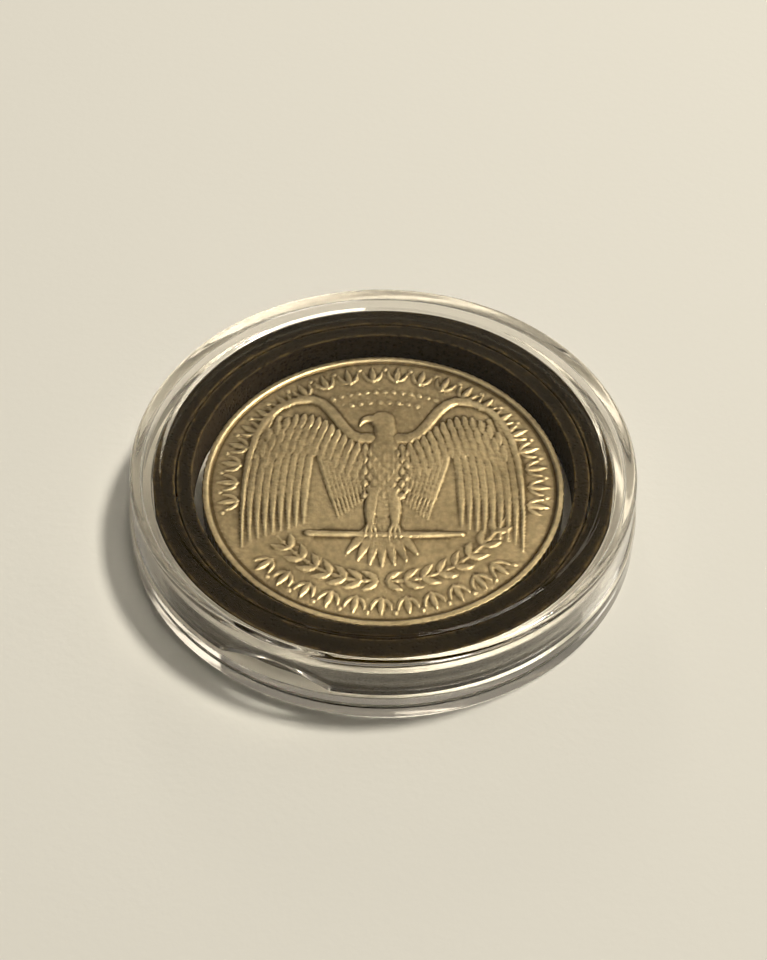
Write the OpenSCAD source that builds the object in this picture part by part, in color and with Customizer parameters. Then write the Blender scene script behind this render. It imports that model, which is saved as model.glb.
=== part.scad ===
// Round coin capsule: two clear shells, a foam insert cut into two nested rings, and a coin.
// Millimetres. The origin is the centre of the underside, and +Z points out through the lid.

/* [Capsule] */
// Outer diameter of the base's rim
rim_diameter = 34.0; // [33.8:0.1:36]
// Outer diameter of the lid
lid_diameter = 33.6; // [33.2:0.1:33.6]
// Height of the closed capsule
capsule_height = 5.4; // [5.2:0.1:7]
// Height of the seam, where the lid's skirt stands on the base's rim
seam_height = 2.0; // [1.6:0.1:2.2]

/* [Shells] */
// Height of the upper face of the base's plate
floor_height = 1.0; // [0.8:0.1:1.2]
// Thickness of the lid at its raised border
lid_thickness = 0.9; // [0.7:0.1:1.1]
// Thickness of the lid's skirt
skirt_wall = 0.7; // [0.6:0.05:0.8]
// Thickness of the base's upright lip
lip_wall = 0.65; // [0.5:0.05:0.7]
// Height of the lip above the seam
lip_height = 1.8; // [0.9:0.1:1.9]
// Radial play between the lip and the skirt
fit_play = 0.05; // [0.03:0.01:0.1]
// Depth of the shallow window in the top
top_window_depth = 0.12; // [0.08:0.01:0.2]
// Depth of the shallow window in the underside
under_window_depth = 0.2; // [0.1:0.01:0.25]
// Diameter of the window in the top
top_window_diameter = 29.4; // [28:0.1:30.4]
// Diameter of the window in the underside
under_window_diameter = 30.5; // [28:0.1:31]
// Rounding of the lid's upper outer edge
lid_rounding = 0.4; // [0.2:0.05:0.5]

/* [Thumb notch] */
// Width of the notch in the skirt
notch_width = 7.5; // [5:0.5:9]
// Height of the notch above the skirt's foot
notch_height = 1.2; // [0.8:0.1:1.3]
// Direction of the notch, anticlockwise from +X
notch_angle = 246; // [0:1:359]

/* [Foam insert] */
// Clear gap between the foam and the base's lip
foam_gap = 0.1; // [0.05:0.05:0.2]
// Diameter at which the insert is cut into an inner and an outer ring
cut_diameter = 27.6; // [27:0.1:28.4]
// Diameter of the hole for the coin
hole_diameter = 25.4; // [25:0.1:25.8]

/* [Coin] */
// Diameter of the coin
coin_diameter = 24.26; // [22:0.01:24.6]
// Thickness of the coin at its rim
coin_thickness = 1.75; // [1.4:0.05:2]

/* [Hidden] */

rest_gap = 0.05;         // air left under every piece that stands on another one
edge_rounding = 0.12;    // small moulded edges
cut_width = 0.1;         // the kerf between the two foam rings
foam_headroom = 0.15;    // air between the foam and the lid
rim_width = 0.55;        // raised border of the coin
rim_step = 0.1;          // how far that border stands above the coin's field

rim_r = rim_diameter / 2;
lid_r = lid_diameter / 2;
skirt_in_r = lid_r - skirt_wall;
lip_out_r = skirt_in_r - fit_play;
lip_in_r = lip_out_r - lip_wall;
lip_top = seam_height + lip_height;
lid_under = capsule_height - lid_thickness;
skirt_foot = seam_height + rest_gap;
foam_foot = floor_height + rest_gap;
foam_top = lid_under - foam_headroom;
coin_foot = floor_height + rest_gap;
coin_r = coin_diameter / 2;

$fn = 180;

// Points along a quarter round of radius r about centre c, from angle a to angle a + 90.
function quarter(c, r, a, steps = 6) =
    [for (i = [0:steps]) c + r * [cos(a + 90 * i / steps), sin(a + 90 * i / steps)]];

// A cup: a flat floor with a solid outer rim and a thinner lip that the lid fits over.
module base_profile() {
    e = edge_rounding;
    window_r = under_window_diameter / 2;
    polygon(concat(
        [[0, under_window_depth], [window_r, under_window_depth], [window_r, 0]],
        quarter([rim_r - e, e], e, -90),
        quarter([rim_r - e, seam_height - e], e, 0),
        [[lip_out_r, seam_height]],
        quarter([lip_out_r - e, lip_top - e], e, 0),
        [[lip_in_r, lip_top], [lip_in_r, floor_height], [0, floor_height]]
    ));
}

// A shallow cap: a plate with a raised border and a skirt that slips over the base's lip.
module lid_profile() {
    f = lid_rounding;
    window_r = top_window_diameter / 2;
    polygon(concat(
        [[0, lid_under], [skirt_in_r, lid_under], [skirt_in_r, skirt_foot], [lid_r, skirt_foot]],
        quarter([lid_r - f, capsule_height - f], f, 0),
        [[window_r, capsule_height], [window_r, capsule_height - top_window_depth]],
        [[0, capsule_height - top_window_depth]]
    ));
}

// A round bar across the skirt whose upper arc is the notch's arch.
module notch_cutter() {
    half = notch_width / 2;
    arch_r = (half * half + notch_height * notch_height) / (2 * notch_height);
    reach = 2 * skirt_wall;
    rotate([0, 0, notch_angle])
        translate([skirt_in_r - skirt_wall / 2, 0, skirt_foot + notch_height - arch_r])
            rotate([0, 90, 0])
                cylinder(h = reach, r = arch_r);
}

module foam_ring(r_in, r_out) {
    translate([0, 0, foam_foot])
        difference() {
            cylinder(h = foam_top - foam_foot, r = r_out);
            translate([0, 0, -1])
                cylinder(h = foam_top - foam_foot + 2, r = r_in);
        }
}

module base_shell() {
    color([0.93, 0.93, 0.91, 0.35])
        rotate_extrude() base_profile();
}

module lid_shell() {
    color([0.95, 0.95, 0.93, 0.35])
        difference() {
            rotate_extrude() lid_profile();
            notch_cutter();
        }
}

module outer_foam_ring() {
    color([0.10, 0.09, 0.07])
        foam_ring((cut_diameter + cut_width) / 2, lip_in_r - foam_gap);
}

module inner_foam_ring() {
    color([0.11, 0.10, 0.08])
        foam_ring(hole_diameter / 2, (cut_diameter - cut_width) / 2);
}

// A disc with a raised border on both faces.
module coin() {
    e = edge_rounding;
    field_r = coin_r - rim_width;
    top = coin_foot + coin_thickness;
    color([0.62, 0.53, 0.38])
        rotate_extrude()
            polygon(concat(
                [[0, coin_foot + rim_step], [field_r, coin_foot + rim_step], [field_r + rim_step, coin_foot]],
                quarter([coin_r - e, coin_foot + e], e, -90),
                quarter([coin_r - e, top - e], e, 0),
                [[field_r + rim_step, top], [field_r, top - rim_step], [0, top - rim_step]]
            ));
}

base_shell();
lid_shell();
outer_foam_ring();
inner_foam_ring();
coin();
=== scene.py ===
"""Coin capsule: two clear shells, two nested foam rings, a struck coin and a small studio.

Laid out as an add-on panel. Every surface is worked out with numpy as a function of two
parameters. The frame gives the outer sizes, and the settings below hold the rest.
"""

import math

import bpy
import numpy as np
from mathutils import Matrix, Vector


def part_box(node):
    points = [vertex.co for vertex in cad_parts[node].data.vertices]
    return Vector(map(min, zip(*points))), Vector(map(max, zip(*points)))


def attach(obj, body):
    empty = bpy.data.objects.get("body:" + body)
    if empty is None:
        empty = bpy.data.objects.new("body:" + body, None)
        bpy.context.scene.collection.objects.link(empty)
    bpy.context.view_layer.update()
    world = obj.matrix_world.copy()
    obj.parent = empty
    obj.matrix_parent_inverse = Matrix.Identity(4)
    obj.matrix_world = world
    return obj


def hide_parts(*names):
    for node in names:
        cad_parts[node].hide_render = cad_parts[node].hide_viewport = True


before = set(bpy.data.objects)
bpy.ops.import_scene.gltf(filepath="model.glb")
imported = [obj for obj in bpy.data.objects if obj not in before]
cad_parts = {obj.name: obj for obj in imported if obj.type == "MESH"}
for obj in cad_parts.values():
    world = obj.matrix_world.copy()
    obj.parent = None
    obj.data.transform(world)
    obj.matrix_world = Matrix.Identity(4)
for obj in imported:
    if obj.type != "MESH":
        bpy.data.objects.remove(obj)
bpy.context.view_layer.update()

bl_info = {
    "name": "Coin Capsule",
    "version": (1, 0, 0),
    "blender": (4, 5, 0),
    "location": "3D View > Sidebar > Capsule",
    "description": "Builds a clear coin capsule with its foam insert, its coin and a studio",
    "category": "Object",
}

MM = 0.001  # metres in a millimetre
ROUND = 512  # points round the axis of every turned piece
CORNER = 7  # points round each moulded corner
COIN_GRID = 256  # cells across the coin's upper face
BACK_GRID = COIN_GRID // 2  # cells across its hidden face
REEDS = COIN_GRID // 2  # grooves round its edge, eight points each
TURN = np.linspace(0, 2 * np.pi, ROUND, endpoint=False)  # the angles of those points round the axis


def turned_size(node):
    """Outer radius, foot and top of a round CAD node; the radius is its box's shorter half side."""
    low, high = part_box(node)
    return min(high.x - low.x, high.y - low.y) / 2, low.z, high.z


RIM_R, UNDERSIDE, LIP_TOP = turned_size("base_shell")
LID_R, SKIRT_FOOT, LID_TOP = turned_size("lid_shell")
FOAM_R, FOAM_FOOT, FOAM_TOP = turned_size("outer_foam_ring")
INSERT_R = turned_size("inner_foam_ring")[0]
COIN_R, COIN_FOOT, COIN_TOP = turned_size("coin")


# Settings


def length(name, description, millimetres):
    """A size property whose default is given in millimetres."""
    return bpy.props.FloatProperty(
        name=name, description=description, default=millimetres * MM,
        min=0.0, precision=5, subtype="DISTANCE", unit="LENGTH",
    )


def linear(code):
    """Linear red, green and blue of an sRGB hex colour."""
    share = np.array([int(code[i:i + 2], 16) for i in (1, 3, 5)]) / 255
    return tuple(np.where(share <= 0.04045, share / 12.92, ((share + 0.055) / 1.055) ** 2.4).tolist())


def colour(name, description, code):
    """A colour property whose default is an sRGB hex colour."""
    return bpy.props.FloatVectorProperty(
        name=name, description=description, default=linear(code),
        size=3, min=0.0, max=1.0, subtype="COLOR",
    )


def angle(name, description, degrees):
    """An angle property whose default is given in degrees."""
    return bpy.props.FloatProperty(
        name=name, description=description, default=math.radians(degrees),
        subtype="ANGLE", unit="ROTATION",
    )


class ShellSettings(bpy.types.PropertyGroup):
    """Sizes and colour of the two clear shells."""

    rest_gap: length("Rest gap", "Air under each piece that stands on another", 0.05)
    skirt_wall: length("Skirt wall", "Thickness of the lid's skirt", 0.7)
    fit_play: length("Fit play", "Radial play between lip and skirt", 0.05)
    foam_gap: length("Foam gap", "Radial gap between foam and lip", 0.1)
    headroom: length("Headroom", "Air between the foam and the lid", 0.15)
    top_depth: length("Top window depth", "Depth of the window in the top", 0.12)
    under_depth: length("Under window depth", "Depth of the window in the underside", 0.2)
    top_window: length("Top window", "Radius of the window in the top", 14.7)
    ramp: length("Window ramp", "Width of the sloping edge of the window in the top", 0.24)
    under_window: length("Under window", "Radius of the window in the underside", 15.25)
    lid_rounding: length("Lid rounding", "Rounding of the lid's upper edge", 0.4)
    moulded_edge: length("Moulded edge", "Rounding of the other outer edges", 0.12)
    crisp_edge: length("Crisp edge", "Rounding where the mould is sharp", 0.03)
    notch_width: length("Notch width", "Width of the thumb notch", 7.5)
    notch_height: length("Notch height", "Height of the thumb notch over the skirt's foot", 1.2)
    notch_turn: angle("Notch direction", "Direction of the thumb notch from +X", 246)
    tint: colour("Tint", "Faint warm tint of the clear plastic", "#fdfbf7")
    depth_tint: colour("Depth tint", "Cream of light that runs the plastic's whole length", "#faedd2")


class FoamSettings(bpy.types.PropertyGroup):
    """Sizes and colours of the two foam rings."""

    hole: length("Hole", "Radius of the hole for the coin", 12.7)
    kerf: length("Kerf", "Width of the cut between the rings", 0.1)
    edge: length("Cut edge", "Rounding of the die-cut edges", 0.14)
    lean: length("Lean", "How far the insert's top leans up and down over its width", 0.35)
    unevenness: length("Unevenness", "Height of the foam's slow waves", 0.016)
    skin: colour("Foam", "Black of the closed foam", "#120d04")
    side: colour("Cut walls", "Black of the rougher walls that the knife left", "#332a1c")
    # painted shade: the open pores are drawn darker than the foam round them
    pore_shade: colour("Pores", "Black inside the open pores", "#050401")
    # painted highlight: a paler broken line where the top edges catch the light
    edge_highlight: colour("Scuffs", "Paler brown of the scuffed cut edges", "#4a3d24")


class CoinSettings(bpy.types.PropertyGroup):
    """Sizes and colours of the coin."""

    border: length("Border", "Width of the raised border", 0.42)
    relief: length("Relief", "Depth of the field under the border", 0.12)
    edge: length("Edge", "Rounding of the coin's edges", 0.1)
    strike: bpy.props.FloatProperty(
        name="Strike", description="Share of the relief that wear has left", default=0.58,
        min=0.0, max=1.0,
    )
    reed_depth: length("Reeds", "Depth of the grooves round the edge", 0.06)
    metal: colour("Metal", "Worn metal on the high places", "#b2a380")
    field: colour("Field", "Toned metal of the field", "#998968")
    tarnish: colour("Tarnish", "Dark toning in the hollows", "#50422a")


class StageSettings(bpy.types.PropertyGroup):
    """The floor, the lights and the camera."""

    floor: colour("Floor", "Pale matt floor", "#e3e1d8")
    sky: colour("Room light", "Soft light from all round", "#fffaf2")
    lamp: colour("Lamp", "The main lamp", "#fff9ee")
    room: bpy.props.FloatProperty(
        name="Room", description="Strength of the soft light from all round", default=0.08,
        min=0.0,
    )
    far_wall: bpy.props.FloatProperty(
        name="Far wall", description="Strength of the light off the wall behind", default=0.2,
        min=0.0,
    )
    black: bpy.props.FloatProperty(
        name="Black level", description="Light that the picture shows as black", default=0.016,
        min=0.0,
    )
    lamp_power: bpy.props.FloatProperty(
        name="Lamp power", description="Power of the main lamp", default=3.0,
        min=0.0, unit="POWER",
    )
    panel_power: bpy.props.FloatProperty(
        name="Panel power", description="Power of the wide panel at the side", default=0.3,
        min=0.0, unit="POWER",
    )
    window_power: bpy.props.FloatProperty(
        name="Window power", description="Power of the low window behind", default=0.3,
        min=0.0, unit="POWER",
    )
    elevation: angle("Elevation", "Height of the camera over the floor", 47.75)
    roll: angle("Roll", "Roll of the camera", 0.89)
    distance: length("Distance", "From the camera to what it aims at", 159.3)
    lens: bpy.props.FloatProperty(
        name="Lens", description="Focal length", default=89.03, min=1.0, unit="CAMERA"
    )


# Meshes


def mesh_object(name, points, *face_sets):
    """A smooth mesh object of an array of points and arrays of faces.

    Each array of faces holds those of one number of sides, as rows of point numbers.
    """
    corners = np.concatenate([faces.ravel() for faces in face_sets])
    sides = np.concatenate([np.full(len(faces), faces.shape[1]) for faces in face_sets])
    mesh = bpy.data.meshes.new(name)
    mesh.vertices.add(len(points))
    mesh.vertices.foreach_set("co", points.astype(np.float32).ravel())
    mesh.loops.add(len(corners))
    mesh.loops.foreach_set("vertex_index", corners.astype(np.int32))
    mesh.polygons.add(len(sides))
    mesh.polygons.foreach_set("loop_start", (np.cumsum(sides) - sides).astype(np.int32))
    mesh.update(calc_edges=True)
    if mesh.validate():
        raise RuntimeError(f"{name} has faces that can't be")
    mesh.shade_smooth()
    piece = bpy.data.objects.new(name, mesh)
    bpy.context.scene.collection.objects.link(piece)
    return piece


def rounded(corners, flats=0, closed=False):
    """The outline through corners (radius, height, rounding).

    Each corner becomes the quadratic curve that starts and ends one rounding away along its two
    sides. A guard point half a rounding further out keeps the flats flat, and on each flat as many
    more points as flats says stand between two guards. An open outline keeps its two end points.
    """
    corners = np.array(corners, float)
    place, reach = corners[:, :2], corners[:, 2:]
    ahead = np.roll(place, -1, 0) - place
    ahead /= np.linalg.norm(ahead, axis=1, keepdims=True)
    behind = np.roll(ahead, 1, 0)
    t = np.linspace(0, 1, CORNER)[None, :, None]
    start, end = (place - reach * behind)[:, None], (place + reach * ahead)[:, None]
    curve = (1 - t) ** 2 * start + 2 * t * (1 - t) * place[:, None] + t**2 * end
    guard_in, guard_out = place - 1.5 * reach * behind, place + 1.5 * reach * ahead
    along = np.linspace(0, 1, flats + 2)[None, :-1, None]
    flat = guard_out[:, None] * (1 - along) + np.roll(guard_in, -1, 0)[:, None] * along
    rows = np.concatenate([guard_in[:, None], curve, flat], axis=1)
    if closed:
        return rows.reshape(-1, 2)
    return np.concatenate([place[:1], rows[1:-1].reshape(-1, 2), place[-1:]])


def turn_round(name, radius, height, closed=False):
    """The turned surface (radius cos a, radius sin a, height).

    Rows run along the outline and columns round the axis. An open outline runs from the axis under
    the piece, outwards and back to the axis over it, and each end row becomes one point. A closed
    outline goes round a ring and meets itself.
    """
    points = np.stack([radius * np.cos(TURN), radius * np.sin(TURN), height], axis=-1)
    rows = len(points)
    index = np.arange(rows * ROUND).reshape(rows, ROUND)
    if closed:
        index = np.concatenate([index, index[:1]])
        points, poles = points.reshape(-1, 3), []
    else:
        points = points[1:-1].reshape(-1, 3)
        index = index[:-2]
        first, last = len(points), len(points) + 1
        points = np.concatenate([points, [[0, 0, height[0, 0]], [0, 0, height[-1, 0]]]])
        inner, outer = index[0], index[-1]
        poles = [
            np.stack([np.full(ROUND, first), np.roll(inner, -1), inner], axis=1),
            np.stack([np.full(ROUND, last), outer, np.roll(outer, -1)], axis=1),
        ]
    beside = np.roll(index, -1, axis=1)
    quads = np.stack([index[:-1], beside[:-1], beside[1:], index[1:]], axis=-1).reshape(-1, 4)
    return mesh_object(name, points, quads, *poles)


def add_attribute(piece, name, values):
    """Keeps one number for each point of the mesh, for its material to read."""
    attribute = piece.data.attributes.new(name, "FLOAT", "POINT")
    attribute.data.foreach_set("value", values.astype(np.float32))


def spread(outline):
    """The outline's radii and heights, repeated round the axis."""
    return [np.repeat(outline[:, k:k + 1], ROUND, axis=1) for k in (0, 1)]


# Materials


def add(tree, kind, inputs=(), **settings):
    """Adds a node with its own settings, and inputs that are each a value or a link from a socket."""
    node = tree.nodes.new(kind)
    for name, value in settings.items():
        setattr(node, name, value)
    for name, value in dict(inputs).items():
        if isinstance(value, bpy.types.NodeSocket):
            tree.links.new(value, node.inputs[name])
        else:
            node.inputs[name].default_value = value
    return node


def new_material(name):
    """An empty node material, its tree and the socket of its Object coordinates."""
    material = bpy.data.materials.new(name)
    material.use_nodes = True
    tree = material.node_tree
    tree.nodes.clear()
    place = add(tree, "ShaderNodeTexCoord").outputs["Object"]
    return material, tree, place


def per(millimetres):
    """The scale of a pattern whose repeat is so many millimetres."""
    return 1 / (millimetres * MM)


def opaque(rgb):
    """A colour with full alpha."""
    return (*rgb, 1.0)


def moulded_clear_acrylic(settings):
    """Injection-moulded acrylic: glass-clear, with sharp highlights, faint flow waves and rubbing.

    Its index is 1.49. Shadow rays pass through it, so that the lamps reach what lies inside.
    """
    material, tree, place = new_material("moulded_clear_acrylic")
    flow = add(tree, "ShaderNodeTexNoise", {"Vector": place, "Scale": per(9), "Detail": 1.0})
    # real handling marks are some 0.02 mm wide; they are drawn at 0.25 mm to show at all
    rubbing = add(tree, "ShaderNodeTexNoise", {"Vector": place, "Scale": per(0.25), "Detail": 3.0})
    gloss = add(tree, "ShaderNodeMapRange", {
        "Value": rubbing.outputs["Fac"], "From Min": 0.45, "From Max": 0.8,
        "To Min": 0.0, "To Max": 0.06,
    })
    waves = add(tree, "ShaderNodeBump", {
        "Height": flow.outputs["Fac"], "Strength": 0.1, "Distance": 0.02 * MM,
    })
    clear = add(tree, "ShaderNodeBsdfPrincipled", {
        "Base Color": opaque(settings.tint), "Roughness": gloss.outputs["Result"], "IOR": 1.49,
        "Transmission Weight": 1.0, "Normal": waves.outputs["Normal"],
    })
    # light that meets a wall aslant is bent aside, so upright walls shade what lies behind them
    slant = add(tree, "ShaderNodeLayerWeight", {"Blend": 0.5})
    passed = add(tree, "ShaderNodeMapRange", {
        "Value": slant.outputs["Facing"], "From Min": 0.15, "From Max": 0.5,
        "To Min": 0.97, "To Max": 0.02,
    })
    through = add(tree, "ShaderNodeBsdfTransparent", {"Color": passed.outputs["Result"]})
    path = add(tree, "ShaderNodeLightPath")
    both = add(tree, "ShaderNodeMixShader", {
        0: path.outputs["Is Shadow Ray"], 1: clear.outputs[0], 2: through.outputs[0],
    })
    # a thumb's breadth of the plastic is clear, and the length of a whole plate is faintly cream
    depth = add(tree, "ShaderNodeVolumeAbsorption", {
        "Color": opaque(settings.depth_tint), "Density": 12.0,
    })
    add(tree, "ShaderNodeOutputMaterial", {"Surface": both.outputs[0], "Volume": depth.outputs[0]})
    return material


def die_cut_foam(settings):
    """Closed-cell EVA foam, die-cut: near black and matt, pitted where the knife opened its cells.

    The walls that the knife left are a little paler than the top, and a painted highlight runs along
    the top edges.
    """
    material, tree, place = new_material("die_cut_eva_foam")
    # the cells are about 0.15 mm across; they are drawn at 0.3 mm to show
    cells = add(tree, "ShaderNodeTexVoronoi", {"Vector": place, "Scale": per(0.3)})
    grain = add(tree, "ShaderNodeTexNoise", {"Vector": place, "Scale": per(0.5), "Detail": 4.0})
    patches = add(tree, "ShaderNodeTexNoise", {"Vector": place, "Scale": per(4), "Detail": 2.0})
    pits = add(tree, "ShaderNodeMapRange", {
        "Value": cells.outputs["Distance"], "From Min": 0.1, "From Max": 0.45,
    })
    # painted shade: the open pores are darker than the foam round them
    shade = add(tree, "ShaderNodeMix", {
        "Factor": pits.outputs["Result"], "A": opaque(settings.pore_shade), "B": opaque(settings.skin),
    }, data_type="RGBA")
    tone = add(tree, "ShaderNodeMapRange", {
        "Value": patches.outputs["Fac"], "From Min": 0.3, "From Max": 0.7,
        "To Min": 0.8, "To Max": 1.3,
    })
    skin = add(tree, "ShaderNodeVectorMath", {
        0: shade.outputs["Result"], "Scale": tone.outputs["Result"],
    }, operation="SCALE")
    fine = add(tree, "ShaderNodeBump", {
        "Height": grain.outputs["Fac"], "Strength": 0.8, "Distance": 0.06 * MM,
    })
    rough = add(tree, "ShaderNodeBump", {
        "Height": pits.outputs["Result"], "Strength": 0.7, "Distance": 0.05 * MM,
        "Normal": fine.outputs["Normal"],
    })
    wall = add(tree, "ShaderNodeAttribute", attribute_name="cut_wall").outputs["Fac"]
    # on the cut walls the pores are painted darker too, in the black of the top
    cut = add(tree, "ShaderNodeMix", {
        "Factor": pits.outputs["Result"], "A": opaque(settings.skin), "B": opaque(settings.side),
    }, data_type="RGBA")
    body = add(tree, "ShaderNodeMix", {
        "Factor": wall, "A": skin.outputs["Vector"], "B": cut.outputs["Result"],
    }, data_type="RGBA")
    # painted highlight: a paler line, broken by the grain, along the top edges where they catch the
    # light
    edge = add(tree, "ShaderNodeAttribute", attribute_name="cut_edge").outputs["Fac"]
    broken = add(tree, "ShaderNodeMapRange", {
        "Value": grain.outputs["Fac"], "From Min": 0.42, "From Max": 0.62,
    })
    highlit = add(tree, "ShaderNodeMath", {0: edge, 1: broken.outputs["Result"]}, operation="MULTIPLY")
    brightened = add(tree, "ShaderNodeMix", {
        "Factor": highlit.outputs[0], "A": body.outputs["Result"], "B": opaque(settings.edge_highlight),
    }, data_type="RGBA")
    foam = add(tree, "ShaderNodeBsdfPrincipled", {
        "Base Color": brightened.outputs["Result"], "Roughness": 0.92, "Specular IOR Level": 0.08,
        "Normal": rough.outputs["Normal"],
    })
    add(tree, "ShaderNodeOutputMaterial", {"Surface": foam.outputs[0]})
    return material


def struck_cupronickel(settings):
    """Struck copper-nickel, long in use: soft of sheen, bright where rubbed, brown in the hollows."""
    material, tree, place = new_material("struck_cupronickel")
    hollow = add(tree, "ShaderNodeAttribute", attribute_name="hollow").outputs["Fac"]
    toning = add(tree, "ShaderNodeTexNoise", {"Vector": place, "Scale": per(5), "Detail": 5.0})
    # the worn metal's grain is some 0.03 mm; it is drawn at 0.12 mm to show
    grain = add(tree, "ShaderNodeTexNoise", {"Vector": place, "Scale": per(0.12), "Detail": 3.0})
    swept = add(tree, "ShaderNodeMapping", {
        "Vector": place, "Rotation": (0, 0, math.radians(35)), "Scale": (per(0.15), per(4), per(4)),
    })
    hairlines = add(tree, "ShaderNodeTexNoise", {
        "Vector": swept.outputs[0], "Scale": 1.0, "Detail": 2.0,
    })
    high = add(tree, "ShaderNodeMapRange", {"Value": hollow, "From Min": 0.5, "From Max": 0.0})
    low = add(tree, "ShaderNodeMapRange", {"Value": hollow, "From Min": 0.52, "From Max": 0.82})
    stain = add(tree, "ShaderNodeMapRange", {
        "Value": toning.outputs["Fac"], "From Min": 0.45, "From Max": 0.75,
        "To Min": 0.0, "To Max": 0.5,
    })
    brightened = add(tree, "ShaderNodeMix", {
        "Factor": high.outputs["Result"], "A": opaque(settings.field), "B": opaque(settings.metal),
    }, data_type="RGBA")
    toned = add(tree, "ShaderNodeMix", {
        "Factor": stain.outputs["Result"], "A": brightened.outputs["Result"], "B": opaque(settings.tarnish),
    }, data_type="RGBA")
    dark = add(tree, "ShaderNodeMix", {
        "Factor": low.outputs["Result"], "A": toned.outputs["Result"], "B": opaque(settings.tarnish),
    }, data_type="RGBA")
    # wear leaves the metal unevenly bright, in specks of some 0.4 mm
    specks = add(tree, "ShaderNodeTexNoise", {"Vector": place, "Scale": per(0.4), "Detail": 4.0})
    bright = add(tree, "ShaderNodeMapRange", {
        "Value": specks.outputs["Fac"], "From Min": 0.35, "From Max": 0.65,
        "To Min": 0.78, "To Max": 1.1,
    })
    speckled = add(tree, "ShaderNodeVectorMath", {
        0: dark.outputs["Result"], "Scale": bright.outputs["Result"],
    }, operation="SCALE")
    sheen = add(tree, "ShaderNodeMapRange", {
        "Value": grain.outputs["Fac"], "From Min": 0.3, "From Max": 0.7, "To Min": 0.3, "To Max": 0.46,
    })
    scratched = add(tree, "ShaderNodeBump", {
        "Height": hairlines.outputs["Fac"], "Strength": 0.25, "Distance": 0.01 * MM,
    })
    grained = add(tree, "ShaderNodeBump", {
        "Height": grain.outputs["Fac"], "Strength": 1.0, "Distance": 0.014 * MM,
        "Normal": scratched.outputs["Normal"],
    })
    metal = add(tree, "ShaderNodeBsdfPrincipled", {
        "Base Color": speckled.outputs["Vector"], "Metallic": 1.0, "Roughness": sheen.outputs["Result"],
        "Normal": grained.outputs["Normal"],
    })
    add(tree, "ShaderNodeOutputMaterial", {"Surface": metal.outputs[0]})
    return material


def matt_paper(settings):
    """Matt backdrop paper: pale, without gloss, faintly fibrous."""
    material, tree, place = new_material("matt_backdrop_paper")
    fibres = add(tree, "ShaderNodeTexNoise", {"Vector": place, "Scale": per(0.6), "Detail": 4.0})
    raised = add(tree, "ShaderNodeBump", {
        "Height": fibres.outputs["Fac"], "Strength": 0.3, "Distance": 0.05 * MM,
    })
    paper = add(tree, "ShaderNodeBsdfPrincipled", {
        "Base Color": opaque(settings.floor), "Roughness": 0.95, "Normal": raised.outputs["Normal"],
    })
    add(tree, "ShaderNodeOutputMaterial", {"Surface": paper.outputs[0]})
    return material


def finish_piece(piece, material, body, node):
    """Gives a piece its material and body, and hides the CAD node that it stands for."""
    piece.data.materials.append(material)
    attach(piece, body)
    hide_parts(node)


def shell_material(settings):
    """The shells' one material, made the first time that it is asked for."""
    return bpy.data.materials.get("moulded_clear_acrylic") or moulded_clear_acrylic(settings)


# The shells


class CAPSULE_OT_base_shell(bpy.types.Operator):
    """Turns the base: a cup with a flat plate, a solid outer rim and a thin upright lip"""

    bl_idname = "coin_capsule.base_shell"
    bl_label = "Base shell"

    def execute(self, context):
        s = context.scene.capsule_shells
        edge, nick = s.moulded_edge, s.crisp_edge
        lip_out = LID_R - s.skirt_wall - s.fit_play
        lip_in = FOAM_R + s.foam_gap
        seam, floor = SKIRT_FOOT - s.rest_gap, FOAM_FOOT - s.rest_gap
        # the two inner corners are rounded by less than the gaps beside them
        outline = rounded([
            (0, s.under_depth, 0),
            (s.under_window, s.under_depth, nick),
            (s.under_window, UNDERSIDE, nick),
            (RIM_R, UNDERSIDE, edge),
            (RIM_R, seam, edge),
            (lip_out, seam, s.rest_gap / 2),
            (lip_out, LIP_TOP, edge),
            (lip_in, LIP_TOP, edge),
            (lip_in, floor, s.foam_gap * 0.8),
            (0, floor, 0),
        ])
        piece = turn_round("base_shell_clear", *spread(outline))
        finish_piece(piece, shell_material(s), "base", "base_shell")
        return {"FINISHED"}


def notch_lift(radius, height, s):
    """How far the thumb notch lifts each point of the skirt.

    The notch is a flat arch, an arc of a circle through its foot points and its crown. The foot
    follows the arch, softened where it leaves the skirt, and the lift fades upwards.
    """
    half = s.notch_width / 2
    arc = (half**2 + s.notch_height**2) / (2 * s.notch_height)
    turn = TURN - s.notch_turn
    across = np.where(np.cos(turn) > 0, radius * np.sin(turn), arc)
    arch = np.sqrt(np.maximum(arc**2 - across**2, 0)) - arc + s.notch_height
    lift = (arch + np.sqrt(arch**2 + s.crisp_edge**2)) / 2
    # the lift is whole up to the height hold and nothing from the height gone
    hold, gone = SKIRT_FOOT + s.moulded_edge * 2, LID_TOP - s.lid_rounding * 1.5
    fade = np.clip((gone - height) / (gone - hold), 0, 1)
    on_skirt = radius > LID_R - s.skirt_wall - s.fit_play
    return lift * fade * on_skirt


class CAPSULE_OT_lid_shell(bpy.types.Operator):
    """Turns the lid: a shallow cap whose skirt is lifted into an arch at the thumb notch"""

    bl_idname = "coin_capsule.lid_shell"
    bl_label = "Lid shell"

    def execute(self, context):
        s = context.scene.capsule_shells
        skirt_in, nick, step = LID_R - s.skirt_wall, s.crisp_edge, s.top_depth / 2
        under, window = FOAM_TOP + s.headroom, LID_TOP - s.top_depth
        outline = rounded([
            (0, under, 0),
            (skirt_in, under, s.moulded_edge),
            (skirt_in, SKIRT_FOOT, nick),
            (LID_R, SKIRT_FOOT, nick),
            (LID_R, LID_TOP, s.lid_rounding),
            (s.top_window + s.ramp / 2, LID_TOP, step),
            (s.top_window - s.ramp / 2, window, step),
            (0, window, 0),
        ], flats=2)
        radius, height = spread(outline)
        piece = turn_round("lid_shell_clear", radius, height + notch_lift(radius, height, s))
        finish_piece(piece, shell_material(s), "lid", "lid_shell")
        return {"FINISHED"}


# The foam


FOAM_WAVES = 24  # sine waves that make up each ring's unevenness


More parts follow.
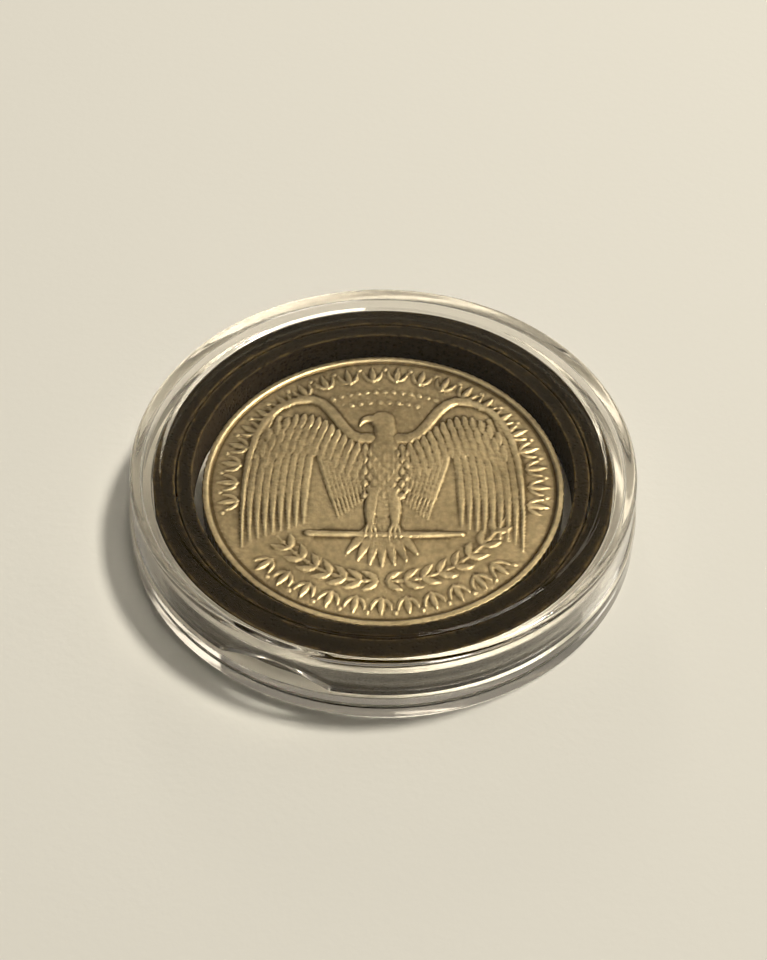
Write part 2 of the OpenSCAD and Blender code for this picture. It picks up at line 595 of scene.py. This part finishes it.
def slow_waves(rows, seed):
    """A sum of seeded sine waves over the outline and round the axis, at most 1 high or deep.

    Each goes 2 to 69 times round the axis and 0 to 4 times round the outline, so that all close.
    """
    draw = np.random.default_rng(seed)
    along = np.linspace(0, 2 * np.pi, rows, endpoint=False)[:, None]
    total = np.zeros((rows, ROUND))
    for _ in range(FOAM_WAVES):
        times, across, phase = draw.integers(2, 70), draw.integers(0, 5), draw.uniform(0, 2 * np.pi)
        total += np.sin(times * TURN + across * along + phase) / times**0.5
    return total / np.abs(total).max()


class CAPSULE_OT_foam_rings(bpy.types.Operator):
    """Turns the two foam rings, soft-edged and slightly uneven, their top leaning with the insert"""

    bl_idname = "coin_capsule.foam_rings"
    bl_label = "Foam rings"

    def execute(self, context):
        s = context.scene.capsule_foam
        rings = [
            ("outer_foam_ring_cut", "outer_ring", "outer_foam_ring", INSERT_R + s.kerf, FOAM_R),
            ("inner_foam_ring_cut", "inner_ring", "inner_foam_ring", s.hole, INSERT_R),
        ]
        material = die_cut_foam(s)
        for seed, (name, body, node, inside, outside) in enumerate(rings):
            outline = rounded([
                (inside, FOAM_FOOT, s.edge),
                (outside, FOAM_FOOT, s.edge),
                (outside, FOAM_TOP, s.edge),
                (inside, FOAM_TOP, s.edge),
            ], flats=9, closed=True)
            radius, height = spread(outline)
            share = (height - FOAM_FOOT) / (FOAM_TOP - FOAM_FOOT)
            # the top leans down towards -Y, and lies lower by the height of its waves
            drop = s.lean * (1 - np.sin(TURN)) + 2 * s.unevenness
            tangent = np.roll(outline, -1, 0) - np.roll(outline, 1, 0)
            tangent /= np.linalg.norm(tangent, axis=1, keepdims=True)
            inwards = s.unevenness * (slow_waves(len(outline), seed) - 1)
            radius = radius + inwards * tangent[:, 1:]
            height = height - drop * share - inwards * tangent[:, :1] * share
            piece = turn_round(name, radius, height, closed=True)
            # the mask of the top edges, along which the material paints a highlight
            corner = np.array([[inside, FOAM_TOP], [outside, FOAM_TOP]])
            gap = np.linalg.norm(outline[:, None] - corner, axis=2).min(axis=1)
            near_edge = np.repeat(np.exp(-((gap / s.edge) ** 2)), ROUND)
            add_attribute(piece, "cut_edge", near_edge)
            add_attribute(piece, "cut_wall", np.repeat(np.abs(tangent[:, 1]), ROUND))
            finish_piece(piece, material, body, node)
        return {"FINISHED"}


# The coin. Its relief is drawn in millimetres from the middle of the face. A blade is given by its
# curve's control points, its half widths from root to tip and its height.

PIT_HEIGHT = 0.003  # millimetres, the finest unevenness of the worn metal
WEAR_HEIGHT = 0.0005  # millimetres, each slow wave of wear
WEAR_WAVES = 30  # of them
WEAR_PACE = 1.4  # radians per millimetre, their usual pace along X and along Y
BEVEL = 0.8  # width over depth of the bevel inside the border
HOLLOW_RANGE = 0.06 * MM  # the depth over which hollow goes from 0 to 1
BLUR = 40  # the face is blurred once for each of so many cells across it
BAND = (9.75, 11.1)  # foot and tip of the ornament band's palmettes, from the middle


def bezier(controls, count=9):
    """Points of the Bezier curve of its controls, by blending neighbours until one is left."""
    t = np.linspace(0, 1, count)[:, None, None]
    level = np.array(controls, float)[None]
    while level.shape[1] > 1:
        level = level[:, :-1] * (1 - t) + level[:, 1:] * t
    return level[:, 0]


def between(first, last, share):
    """The point at that share of the way from first to last."""
    return np.array(first) * (1 - share) + np.array(last) * share


def polar(radius, turn):
    """The point at a radius and an angle in degrees."""
    return radius * np.array([math.cos(math.radians(turn)), math.sin(math.radians(turn))])


class Relief:
    """Heights in millimetres over points of the coin's face, where the highest shape shows."""

    def __init__(self, x, y):
        self.x, self.y, self.z = x / MM, y / MM, np.zeros(len(x))

    def blade(self, controls, halves, height):
        """A blade along a Bezier curve: height (1 - s to the fourth).

        s is the gap between a point and the curve, over the half width there.
        """
        path, reach = bezier(controls), max(halves)
        low, high = path.min(0) - reach, path.max(0) + reach
        near = np.flatnonzero(
            (self.x > low[0]) & (self.x < high[0]) & (self.y > low[1]) & (self.y < high[1])
        )
        start, step = path[:-1], np.diff(path, axis=0)
        x, y = self.x[near, None] - start[:, 0], self.y[near, None] - start[:, 1]
        t = np.clip((x * step[:, 0] + y * step[:, 1]) / (step**2).sum(1), 0, 1)
        gap = np.hypot(x - t * step[:, 0], y - t * step[:, 1])
        nearest = gap.argmin(1)[:, None]
        gap = np.take_along_axis(gap, nearest, 1)[:, 0]
        along = (nearest + np.take_along_axis(t, nearest, 1))[:, 0] / len(step)
        half = np.interp(along, np.linspace(0, 1, len(halves)), halves)
        self.lay(near, height * (1 - np.clip(gap / half, 0, 1) ** 4))

    def dome(self, centre, radius, height):
        """A round bead: height (1 - s to the fourth), s the gap to its centre over its radius."""
        gap = np.hypot(self.x - centre[0], self.y - centre[1]) / radius
        near = np.flatnonzero(gap < 1)
        self.lay(near, height * (1 - gap[near] ** 4))

    def lay(self, where, height):
        """Keeps the larger of the old and the new height."""
        self.z[where] = np.maximum(self.z[where], height)


def leaf_spray(face, controls, leaves, size):
    """A stem along a Bezier curve with pairs of pointed leaves and a berry in each fork."""
    face.blade(controls, (0.14, 0.08), 0.06)
    stem = bezier(controls, leaves + 1)
    for here, ahead in zip(stem[:-1], stem[1:]):
        forward = (ahead - here) / np.linalg.norm(ahead - here)
        aside = np.array([-forward[1], forward[0]])
        for side in (-1, 1):
            tip = here + size * (0.8 * forward + 0.62 * side * aside)
            bulge = here + size * (0.25 * forward + 0.42 * side * aside)
            face.blade([here, bulge, tip], (0.08, 0.27, 0.25, 0.04), 0.085)
        face.dome(here + 0.55 * size * forward, 0.15, 0.08)


def ornament_arc(face, start, end, units):
    """A band of palmettes and beads along an arc, in the place of an inscription."""
    for k in range(units):
        turn = start + (end - start) * (k + 0.5) / units
        half_step = (end - start) / units / 2
        face.blade([polar(radius, turn) for radius in BAND], (0.1, 0.25, 0.22, 0.05), 0.1)
        for side in (-1, 1):
            root, tip = polar(9.8, turn), polar(10.75, turn + side * 3.6)
            bulge = polar(10.0, turn + side * 3.4)
            face.blade([root, bulge, tip], (0.08, 0.16, 0.14, 0.05), 0.085)
        face.dome(polar(10.95, turn + half_step), 0.17, 0.08)


def wing(face, side):
    """One spread wing: an arm, an outer feather, two rows of flight feathers and three of coverts."""
    def place(*points):
        return [np.array(p) * (side, 1) for p in points]

    for k in range(8):
        share = k / 7
        face.blade(place(
            between((7.6, 6.4), (4.7, 4.4), share), between((9.3, 1.6), (5.4, 0.6), share),
            between((8.7, -5.0), (5.2, -3.5), share),
        ), (0.2, 0.29, 0.29, 0.05), 0.075)
    for k in range(10):
        share = k / 9
        face.blade(place(
            between((4.8, 4.5), (1.4, 3.2), share), between((3.9, 0.6), (1.2, 1.0), share),
            between((2.9, -2.9), (0.9, -0.9), share),
        ), (0.18, 0.2, 0.17, 0.05), 0.08)
    ridge = bezier(place((1.2, 3.9), (3.2, 4.2), (4.0, 7.8), (6.3, 7.6), (8.4, 4.4)), 15)
    # each row of coverts hangs so far under the arm, with feathers so long and so high
    coverts = [(2.1, 1.7, 0.095), (1.1, 1.4, 0.11), (0.3, 1.1, 0.125)]
    for row, (drop, reach, height) in enumerate(coverts):
        for k, point in enumerate(ridge[:-1]):
            root = between(point, ridge[k + 1], 0.5 * (row % 2)) - (0, drop)
            tip = root + np.array([side * 0.12, -1]) * reach
            face.blade([root, tip], (0.16, 0.3, 0.26, 0.06), height)
    face.blade(place((5.0, 7.9), (8.7, 8.0), (9.7, 3.0), (9.2, -5.6)), (0.34, 0.3, 0.26, 0.06), 0.12)
    face.blade(place((1.0, 4.3), (3.1, 3.6), (3.3, 8.7), (5.8, 7.9)), (0.5, 0.42, 0.4, 0.36), 0.14)


def bird(face):
    """A plain spread-winged bird on a branch, its head turned aside."""
    for side in (-1, 1):
        wing(face, side)
    for turn in np.linspace(-122, -58, 7):
        face.blade([(0, -2.6), polar(7.0, turn) * (0.62, 1.0)], (0.3, 0.36, 0.42, 0.1), 0.085)
    face.blade([(0.05, 3.6), (0, 1.2), (0, -2.4)], (1.15, 1.5, 1.1, 0.7), 0.13)
    for row in range(9):
        for k in range(-2, 3):
            spot = ((k + 0.5 * (row % 2)) * 0.62, 3.7 - 0.55 * row)
            face.blade([spot, (spot[0], spot[1] - 0.5)], (0.1, 0.27, 0.05), 0.15)
    face.blade([(0, 3.2), (0.15, 4.6), (0, 5.8)], (1.2, 0.8, 0.75), 0.145)
    face.dome((-0.1, 6.0), 0.85, 0.165)
    face.blade([(-0.6, 6.1), (-1.4, 6.3), (-1.65, 5.5)], (0.34, 0.3, 0.05), 0.16)
    for side in (-1, 1):
        face.blade([(0.6 * side, -0.6), (0.85 * side, -2.0), (0.8 * side, -3.4)], (0.5, 0.5, 0.3), 0.16)
        for toe in (-0.35, 0, 0.35):
            foot = (0.8 * side + toe, -4.6)
            face.blade([(0.8 * side, -3.3), (foot[0], -3.8), foot], (0.16, 0.15, 0.06), 0.165)
    face.blade([(-4.9, -4.3), (0, -4.45), (5.2, -4.2)], (0.26, 0.24, 0.28, 0.2), 0.135)


def front_relief(face):
    """The upper face: the bird, two leaf sprays under it, arcs of beads and the ornament band."""
    ornament_arc(face, -14, 194, 22)
    ornament_arc(face, 218, 322, 11)
    leaf_spray(face, [(-0.3, -8.3), (-4.0, -8.6), (-6.9, -4.6)], 7, 1.25)
    leaf_spray(face, [(0.3, -8.3), (5.2, -8.4), (8.2, -2.6)], 8, 1.25)
    bird(face)
    for radius, reach, count in ((8.75, 24, 13), (7.75, 17, 8)):
        for turn in np.linspace(90 - reach, 90 + reach, count):
            face.dome(polar(radius, turn), 0.2, 0.07)


def back_relief(face):
    """The hidden face: a rosette in a wreath of leaves, inside the same ornament band."""
    ornament_arc(face, 0, 360, 38)
    for side in (-1, 1):
        wreath = [(0.5 * side, -8.2), (10.6 * side, -7.6), (10.2 * side, 8.6), (1.2 * side, 7.9)]
        leaf_spray(face, wreath, 15, 1.5)
    for turn in np.arange(0, 360, 45):
        bulge = polar(2.6, turn)
        face.blade([polar(0.9, turn), bulge, polar(4.6, turn)], (0.3, 0.8, 0.5, 0.05), 0.12)
        face.blade([polar(2.2, turn + 22.5), polar(3.9, turn + 22.5)], (0.3, 0.35, 0.05), 0.09)
    face.dome((0, 0), 0.9, 0.15)


def disc_grid(cells):
    """Unit-disc points of a square grid, their quads and their rim in order round.

    A point (u, v) of the square goes to the radius of the larger of the two, and to the angle of
    an eighth turn times the smaller over the larger, so that squares become circles.
    """
    side = np.linspace(-1, 1, cells + 1)
    u, v = (a.ravel() for a in np.meshgrid(side, side))
    wide = np.abs(u) >= np.abs(v)
    radius = np.where(wide, u, v)
    safe = np.where(radius == 0, 1, radius)
    turn = np.where(wide, np.pi / 4 * v / safe, np.pi / 2 - np.pi / 4 * u / safe)
    x, y = radius * np.cos(turn), radius * np.sin(turn)
    index = np.arange((cells + 1) ** 2).reshape(cells + 1, cells + 1)
    quads = np.stack([index[:-1, :-1], index[:-1, 1:], index[1:, 1:], index[1:, :-1]], axis=-1)
    rim = np.concatenate([index[0], index[-1], index[1:-1, 0], index[1:-1, -1]])
    bearing = np.round(np.arctan2(y[rim], x[rim]), 9) % (2 * np.pi)
    return x, y, quads.reshape(-1, 4), rim[np.argsort(bearing)]


def coin_face(cells, relief, s, seed):
    """One face: its points' x, y, depth under the border and hollow, then its quads and rim.

    The border is level, a bevel leads down from it to the field, and the relief stands on the
    field, which has slow waves of wear. Hollow runs from 0 where a point stands out from a blurred
    copy of the face to 1 where it lies deep, and is a half where they agree.
    """
    unit_x, unit_y, quads, rim = disc_grid(cells)
    reach = COIN_R - s.edge
    x, y = unit_x * reach, unit_y * reach
    face = Relief(x, y)
    relief(face)
    draw = np.random.default_rng(seed)
    wear = np.zeros(len(x))
    for _ in range(WEAR_WAVES):
        wave = draw.normal(size=2) * WEAR_PACE
        wear += np.sin(face.x * wave[0] + face.y * wave[1] + draw.uniform(0, 2 * np.pi))
    pits = draw.normal(size=(cells + 1, cells + 1))
    for _ in range(2):
        pits = (pits + np.roll(pits, 1, 0) + np.roll(pits, 1, 1)) / 3
    pits = pits.ravel() / pits.std()
    height = (face.z * s.strike + wear * WEAR_HEIGHT + pits * PIT_HEIGHT) * MM
    radius = np.hypot(unit_x, unit_y) * reach
    bevel = np.clip((radius - (COIN_R - s.border)) / (s.relief * BEVEL) + 1, 0, 1)
    bevel = bevel * bevel * (3 - 2 * bevel)
    height = np.maximum(height * (1 - bevel), s.relief * bevel)
    grid = height.reshape(cells + 1, cells + 1)
    blurred = grid.copy()
    for _ in range(cells // BLUR):
        blurred = (blurred + np.roll(blurred, 1, 0) + np.roll(blurred, -1, 0)) / 3
        blurred = (blurred + np.roll(blurred, 1, 1) + np.roll(blurred, -1, 1)) / 3
    hollow = 0.5 + ((blurred - grid) / HOLLOW_RANGE).ravel()
    return x, y, s.relief - height, np.clip(hollow, 0, 1), quads, rim


class CAPSULE_OT_coin(bpy.types.Operator):
    """Strikes the coin: two faces in relief, joined by a reeded edge"""

    bl_idname = "coin_capsule.coin"
    bl_label = "Coin"

    def execute(self, context):
        s = context.scene.capsule_coin
        x, y, down, front_hollow, front_quads, front_rim = coin_face(COIN_GRID, front_relief, s, 3)
        front = np.stack([x, y, COIN_TOP - down], axis=1)
        x, y, up, back_hollow, back_quads, back_rim = coin_face(BACK_GRID, back_relief, s, 4)
        back = np.stack([-x, y, COIN_FOOT + up], axis=1)
        count = len(front_rim)
        turn = np.arange(count) * 2 * np.pi / count
        outline = rounded([
            (0, COIN_TOP, 0),
            (COIN_R, COIN_TOP, s.edge),
            (COIN_R, COIN_FOOT, s.edge),
            (0, COIN_FOOT, 0),
        ])[3:-3]  # each face ends at the first point of a corner, so those and the guards are left out
        radius, height = outline[:, :1], outline[:, 1:]
        depth = np.clip((COIN_R - radius) / s.edge, 0, 1)
        radius = radius - s.reed_depth * (1 - depth) * (1 - np.cos(REEDS * turn)) / 2
        height = np.broadcast_to(height, radius.shape)
        side = np.stack([radius * np.cos(turn), radius * np.sin(turn), height], axis=-1)
        rows = np.arange(len(side) * count).reshape(len(side), count) + len(front) + len(back)
        rows = np.concatenate([front_rim[None], rows])
        beside = np.roll(rows, -1, axis=1)
        wall = np.stack([rows[:-1], rows[1:], beside[1:], beside[:-1]], axis=-1).reshape(-1, 4)
        # the back is mirrored left to right, so its rim is read the other way round from the far side
        mirrored = np.roll(back_rim[::-1], len(back_rim) // 2 + 1) + len(front)
        coarse, after = mirrored, np.roll(mirrored, -1)
        first, middle, last = rows[-1][::2], rows[-1][1::2], np.roll(rows[-1][::2], -1)
        seam = np.concatenate([
            np.stack(corners, axis=1)
            for corners in ((first, coarse, middle), (middle, coarse, after), (middle, after, last))
        ])
        points = np.concatenate([front, back, side.reshape(-1, 3)])
        piece = mesh_object("coin_struck", points, front_quads, back_quads + len(front), wall, seam)
        hollow = np.concatenate([front_hollow, back_hollow, np.full(side.shape[0] * count, 0.5)])
        add_attribute(piece, "hollow", hollow)
        finish_piece(piece, struck_cupronickel(s), "coin", "coin")
        return {"FINISHED"}


# The stage

FLOOR_GAP = 0.02 * MM  # air between the floor and the capsule
LAMP_DISTANCE = 0.6  # metres from the origin to each lamp
# each lamp's name, its direction and height in degrees, its size in metres, its power's setting
LAMPS = [
    ("main_lamp", 27.5, 66.5, (0.1, 0.1), "lamp_power"),
    ("side_panel", 35, 42, (0.3, 0.3), "panel_power"),
    ("back_window", 97, 19, (0.1, 0.13), "window_power"),
]
WALL = (0, math.sqrt(0.5), math.sqrt(0.5))  # towards the paler wall, behind and above
AIM = (0.02, 0.54, 2.99)  # millimetres, the point that the camera aims at


def lay_floor(s):
    """A round floor 3 m in radius, closed underneath by a cone 1 mm deep.

    It lies a hair under the capsule, so that light stays inside the plate as over real air.
    """
    radius = np.array([0, 0.05, 0.2, 0.8, 3.0, 0])[:, None] * np.ones(ROUND)
    level = np.array([0, 0, 0, 0, 0, -1])[:, None] * np.ones(ROUND) * MM + UNDERSIDE - FLOOR_GAP
    floor = turn_round("studio_floor", radius[::-1], level[::-1])
    floor.data.materials.append(matt_paper(s))


def hang_lamp(scene, s, name, turn, height, size, power):
    """A soft lamp that faces the capsule.

    Its direction is anticlockwise from +X and its height is over the floor, both in degrees.
    """
    turn, height = math.radians(turn), math.radians(height)
    level = math.cos(height)
    towards = Vector((math.cos(turn) * level, math.sin(turn) * level, math.sin(height)))
    data = bpy.data.lights.new(name, "AREA")
    data.shape = "ELLIPSE"
    data.size, data.size_y = size
    data.energy = power
    data.color = s.lamp
    lamp = bpy.data.objects.new(name, data)
    lamp.location = towards * LAMP_DISTANCE
    lamp.rotation_mode = "QUATERNION"
    lamp.rotation_quaternion = towards.to_track_quat("Z", "Y")
    scene.collection.objects.link(lamp)


def light_room(scene, s):
    """Soft warm light from all round, and more from a paler wall behind."""
    world = bpy.data.worlds.new("studio_room")
    world.use_nodes = True
    tree = world.node_tree
    tree.nodes.clear()
    direction = add(tree, "ShaderNodeTexCoord").outputs["Generated"]
    facing = add(tree, "ShaderNodeVectorMath", {
        0: direction, 1: WALL,
    }, operation="DOT_PRODUCT")
    # the wall begins 41 degrees from its middle and is at its full strength within 18
    level = add(tree, "ShaderNodeMapRange", {
        "Value": facing.outputs["Value"], "From Min": 0.75, "From Max": 0.95,
        "To Min": s.room, "To Max": s.room + s.far_wall,
    })
    light = add(tree, "ShaderNodeBackground", {
        "Color": opaque(s.sky), "Strength": level.outputs["Result"],
    })
    add(tree, "ShaderNodeOutputWorld", {"Surface": light.outputs[0]})
    scene.world = world


def set_picture(scene, s):
    """The view, its black level and how far light is followed."""
    view = scene.view_settings
    view.view_transform = "Standard"
    view.use_curve_mapping = True
    view.curve_mapping.black_level = [s.black] * 3
    # light runs through the plates from side to side in some twenty reflections
    cycles = scene.cycles
    cycles.max_bounces = 64
    cycles.glossy_bounces = 48
    cycles.transmission_bounces = 32


def set_camera(scene, s):
    """A camera that looks along +Y and down at the capsule's middle, rolled a little."""
    forward = Vector((0, math.cos(s.elevation), -math.sin(s.elevation)))
    level_up = Vector((0, math.sin(s.elevation), math.cos(s.elevation)))
    level_right = Vector((1, 0, 0))
    right = level_right * math.cos(s.roll) + level_up * math.sin(s.roll)
    up = level_up * math.cos(s.roll) - level_right * math.sin(s.roll)
    aim = Vector(AIM) * MM
    data = bpy.data.cameras.new("camera")
    data.lens = s.lens
    data.clip_start = 1 * MM
    camera = bpy.data.objects.new("camera", data)
    turned = Matrix((right, up, -forward)).transposed().to_4x4()
    camera.matrix_world = Matrix.Translation(aim - forward * s.distance) @ turned
    scene.collection.objects.link(camera)
    scene.camera = camera


class CAPSULE_OT_stage(bpy.types.Operator):
    """Lays the floor, hangs the lamps, lights the room and sets the picture and the camera"""

    bl_idname = "coin_capsule.stage"
    bl_label = "Stage"

    def execute(self, context):
        scene = context.scene
        s = scene.capsule_stage
        lay_floor(s)
        for name, turn, height, size, power in LAMPS:
            hang_lamp(scene, s, name, turn, height, size, getattr(s, power))
        light_room(scene, s)
        set_picture(scene, s)
        set_camera(scene, s)
        return {"FINISHED"}


class CAPSULE_PT_sidebar(bpy.types.Panel):
    """Lists the settings and the operators in the order in which they are run"""

    bl_label = "Coin capsule"
    bl_idname = "CAPSULE_PT_sidebar"
    bl_space_type = "VIEW_3D"
    bl_region_type = "UI"
    bl_category = "Capsule"

    def draw(self, context):
        for name, operators in GROUPS:
            box = self.layout.box()
            settings = getattr(context.scene, name)
            for field in settings.bl_rna.properties:
                if field.identifier not in ("rna_type", "name"):
                    box.prop(settings, field.identifier)
            for operator in operators:
                box.operator(operator.bl_idname)


SETTINGS = {
    "capsule_stage": StageSettings,
    "capsule_shells": ShellSettings,
    "capsule_foam": FoamSettings,
    "capsule_coin": CoinSettings,
}
GROUPS = [
    ("capsule_stage", [CAPSULE_OT_stage]),
    ("capsule_shells", [CAPSULE_OT_base_shell, CAPSULE_OT_lid_shell]),
    ("capsule_foam", [CAPSULE_OT_foam_rings]),
    ("capsule_coin", [CAPSULE_OT_coin]),
]
CLASSES = [*SETTINGS.values(), *(c for _, group in GROUPS for c in group), CAPSULE_PT_sidebar]


def register():
    """Registers the classes and hangs the settings on the scene."""
    for kind in CLASSES:
        bpy.utils.register_class(kind)
    for name, kind in SETTINGS.items():
        setattr(bpy.types.Scene, name, bpy.props.PointerProperty(type=kind))


def unregister():
    """Takes the settings off the scene and unregisters the classes."""
    for name in SETTINGS:
        delattr(bpy.types.Scene, name)
    for kind in reversed(CLASSES):
        bpy.utils.unregister_class(kind)


def main():
    """Builds everything in order."""
    register()
    bpy.ops.coin_capsule.stage()
    bpy.ops.coin_capsule.base_shell()
    bpy.ops.coin_capsule.lid_shell()
    bpy.ops.coin_capsule.foam_rings()
    bpy.ops.coin_capsule.coin()


if __name__ == "__main__":
    main()
